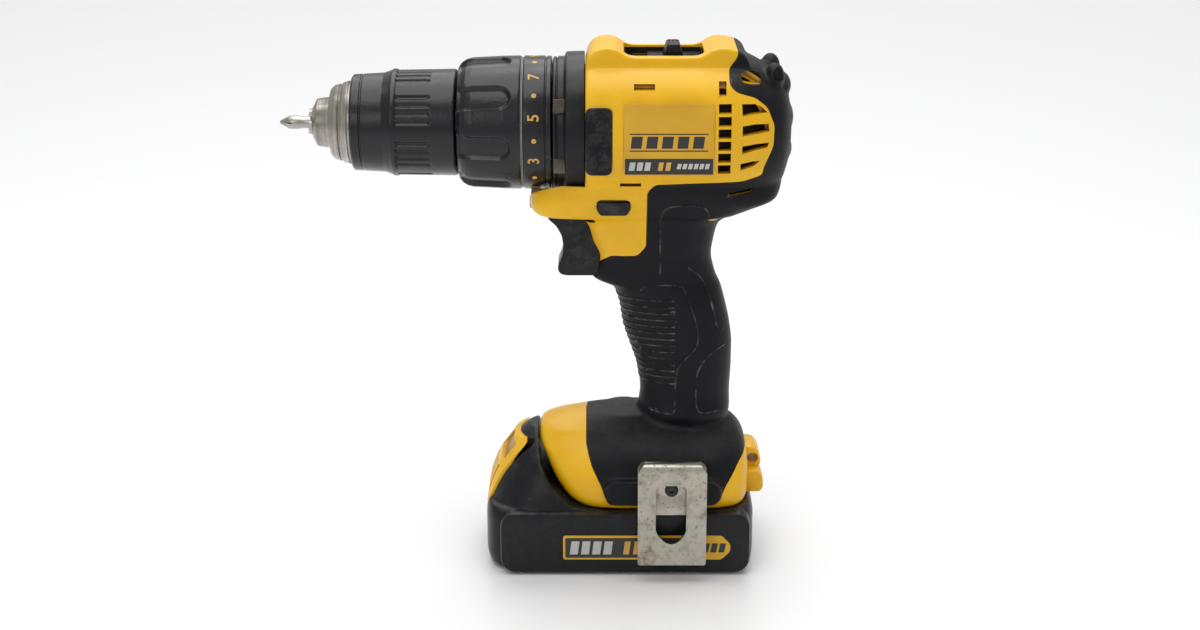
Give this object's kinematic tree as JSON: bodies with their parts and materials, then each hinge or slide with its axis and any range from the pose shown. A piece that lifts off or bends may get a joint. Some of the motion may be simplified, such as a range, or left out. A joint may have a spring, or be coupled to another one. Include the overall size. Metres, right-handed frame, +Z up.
{
  "type": "cordless drill driver",
  "caption": "Pistol-grip cordless drill driver with a keyless chuck, torque collar, speed selector, trigger and slide-on battery with a belt clip.",
  "frame": {"origin": "middle of the battery pack's underside, on the floor", "axes": "+Z up, -X along the spindle towards the bit, -Y towards the belt clip"},
  "size_m": [0.2249, 0.084, 0.2364],
  "materials": {
    "yellow_shell": "moulded glass-filled nylon, satin",
    "black_grip": "soft moulded-on rubber, worn",
    "black_plastic": "moulded nylon, satin",
    "bright_steel": "turned and brushed",
    "dark_steel": "blackened steel",
    "clip_steel": "nickel plated, tarnished",
    "label_print": "printed film",
    "cell_wrap": "shrink-wrapped cells",
    "carbon": "carbon",
    "clear_lens": "clear polycarbonate"
  },
  "bodies": {
    "housing": {"left_shell": "yellow_shell", "right_shell": "yellow_shell", "left_grip": "black_grip", "right_grip": "black_grip", "left_side_pad": "black_grip", "right_side_pad": "black_grip", "left_label": "label_print", "right_label": "label_print", "housing_screw_1": "dark_steel", "housing_screw_2": "dark_steel", "housing_screw_3": "dark_steel", "belt_clip": "clip_steel", "belt_clip_screw": "dark_steel", "bit_holder": "yellow_shell", "gear_case": "black_plastic", "ring_gear_front": "dark_steel", "gearbox_plate": "bright_steel", "spindle_bearing": "bright_steel", "clutch_plate": "bright_steel", "clutch_spring": "bright_steel", "motor_can": "bright_steel", "brush_endbell": "black_plastic", "brush_1": "carbon", "brush_2": "carbon", "trigger_switch": "black_plastic", "led_lens": "clear_lens", "terminal_block": "black_plastic"},
    "spindle": {"output_spindle": "bright_steel", "chuck_body": "bright_steel", "chuck_screw": "dark_steel"},
    "bit": {"screwdriver_bit": "bright_steel"},
    "sleeve": {"chuck_sleeve": "black_grip", "jaw_nut": "dark_steel"},
    "rear_carrier": {"rear_carrier": "bright_steel"},
    "armature": {"armature": "dark_steel", "motor_pinion": "bright_steel", "motor_fan": "black_plastic"},
    "collar": {"torque_collar": "black_grip", "torque_dial": "black_grip"},
    "clutch_nut": {"clutch_nut": "black_plastic"},
    "selector": {"speed_selector": "black_plastic"},
    "shift_ring": {"ring_gear_rear": "dark_steel", "shift_lever": "bright_steel"},
    "trigger": {"trigger": "black_plastic"},
    "direction_button": {"direction_button": "black_plastic"},
    "battery": {"battery_case": "black_plastic", "battery_cover": "black_plastic", "battery_cells": "cell_wrap", "battery_label": "label_print", "latch_spring": "bright_steel"},
    "latch": {"latch_button": "yellow_shell"},
    "jaw_1": {"jaw_1": "bright_steel"},
    "planet_front_1": {"planet_front_1": "dark_steel"},
    "planet_rear_1": {"planet_rear_1": "dark_steel"},
    "jaw_2": {"jaw_2": "bright_steel"},
    "planet_front_2": {"planet_front_2": "dark_steel"},
    "planet_rear_2": {"planet_rear_2": "dark_steel"},
    "jaw_3": {"jaw_3": "bright_steel"},
    "planet_front_3": {"planet_front_3": "dark_steel"},
    "planet_rear_3": {"planet_rear_3": "dark_steel"}
  },
  "joints": [
    {"name": "spindle_spin", "type": "hinge", "parent": "housing", "child": "spindle", "pos_m": [0, 0, 0.2005], "axis": [1, 0, 0], "continuous": true},
    {"name": "bit_pull", "type": "slide", "parent": "spindle", "child": "bit", "axis": [-1, 0, 0], "range_m": [0, 0.03]},
    {"name": "sleeve_turn", "type": "hinge", "parent": "spindle", "child": "sleeve", "pos_m": [0, 0, 0.2005], "axis": [1, 0, 0], "range_deg": [0, 2700]},
    {"name": "rear_carrier_spin", "type": "hinge", "parent": "housing", "child": "rear_carrier", "pos_m": [0, 0, 0.2005], "axis": [1, 0, 0], "continuous": true},
    {"name": "motor_spin", "type": "hinge", "parent": "housing", "child": "armature", "pos_m": [0, 0, 0.2005], "axis": [1, 0, 0], "continuous": true},
    {"name": "collar_turn", "type": "hinge", "parent": "housing", "child": "collar", "pos_m": [0, 0, 0.2005], "axis": [1, 0, 0], "range_deg": [-156, 136.5]},
    {"name": "clutch_nut_travel", "type": "slide", "parent": "housing", "child": "clutch_nut", "axis": [1, 0, 0], "range_m": [-0.002, 0.0018], "deforming": ["clutch_spring"]},
    {"name": "selector_slide", "type": "slide", "parent": "housing", "child": "selector", "axis": [1, 0, 0], "range_m": [-0.01, 0]},
    {"name": "shift_ring_slide", "type": "slide", "parent": "housing", "child": "shift_ring", "axis": [1, 0, 0], "range_m": [-0.0041, 0.0001]},
    {"name": "trigger_pull", "type": "slide", "parent": "housing", "child": "trigger", "axis": [1, 0, 0], "range_m": [0, 0.0065], "stiffness_N_per_m": 300},
    {"name": "direction_slide", "type": "slide", "parent": "housing", "child": "direction_button", "axis": [0, 1, 0], "range_m": [-0.0035, 0.0035]},
    {"name": "battery_slide", "type": "slide", "parent": "housing", "child": "battery", "axis": [-1, 0, 0], "range_m": [0, 0.11]},
    {"name": "latch_press", "type": "slide", "parent": "battery", "child": "latch", "axis": [1, 0, 0], "range_m": [0, 0.003], "stiffness_N_per_m": 400, "deforming": ["latch_spring"]},
    {"name": "jaw_1_travel", "type": "slide", "parent": "spindle", "child": "jaw_1", "axis": [0.9744, 0, 0.225], "range_m": [0, 0.01201]},
    {"name": "planet_front_1_spin", "type": "hinge", "parent": "spindle", "child": "planet_front_1", "pos_m": [0, 0, 0.21265], "axis": [1, 0, 0], "continuous": true},
    {"name": "planet_rear_1_spin", "type": "hinge", "parent": "rear_carrier", "child": "planet_rear_1", "pos_m": [0, 0, 0.21265], "axis": [1, 0, 0], "continuous": true},
    {"name": "jaw_2_travel", "type": "slide", "parent": "spindle", "child": "jaw_2", "axis": [0.9744, -0.1948, -0.1125], "range_m": [0, 0.01201]},
    {"name": "planet_front_2_spin", "type": "hinge", "parent": "spindle", "child": "planet_front_2", "pos_m": [0, 0.01052, 0.19442], "axis": [1, 0, 0], "continuous": true},
    {"name": "planet_rear_2_spin", "type": "hinge", "parent": "rear_carrier", "child": "planet_rear_2", "pos_m": [0, 0.01052, 0.19442], "axis": [1, 0, 0], "continuous": true},
    {"name": "jaw_3_travel", "type": "slide", "parent": "spindle", "child": "jaw_3", "axis": [0.9744, 0.1948, -0.1125], "range_m": [0, 0.01201]},
    {"name": "planet_front_3_spin", "type": "hinge", "parent": "spindle", "child": "planet_front_3", "pos_m": [0, -0.01052, 0.19442], "axis": [1, 0, 0], "continuous": true},
    {"name": "planet_rear_3_spin", "type": "hinge", "parent": "rear_carrier", "child": "planet_rear_3", "pos_m": [0, -0.01052, 0.19442], "axis": [1, 0, 0], "continuous": true}
  ],
  "couplings": [
    {"joint": "rear_carrier_spin", "follows": "spindle_spin", "ratio": 4.5},
    {"joint": "motor_spin", "follows": "spindle_spin", "ratio": 20.25},
    {"joint": "clutch_nut_travel", "follows": "collar_turn", "m_per_rad": 0.000716},
    {"joint": "shift_ring_slide", "follows": "selector_slide", "ratio": 0.4},
    {"joint": "jaw_1_travel", "follows": "sleeve_turn", "m_per_rad": 0.00025465},
    {"joint": "planet_front_1_spin", "follows": "spindle_spin", "ratio": -2.8},
    {"joint": "planet_rear_1_spin", "follows": "spindle_spin", "ratio": -12.6},
    {"joint": "jaw_2_travel", "follows": "sleeve_turn", "m_per_rad": 0.00025465},
    {"joint": "planet_front_2_spin", "follows": "spindle_spin", "ratio": -2.8},
    {"joint": "planet_rear_2_spin", "follows": "spindle_spin", "ratio": -12.6},
    {"joint": "jaw_3_travel", "follows": "sleeve_turn", "m_per_rad": 0.00025465},
    {"joint": "planet_front_3_spin", "follows": "spindle_spin", "ratio": -2.8},
    {"joint": "planet_rear_3_spin", "follows": "spindle_spin", "ratio": -12.6}
  ]
}
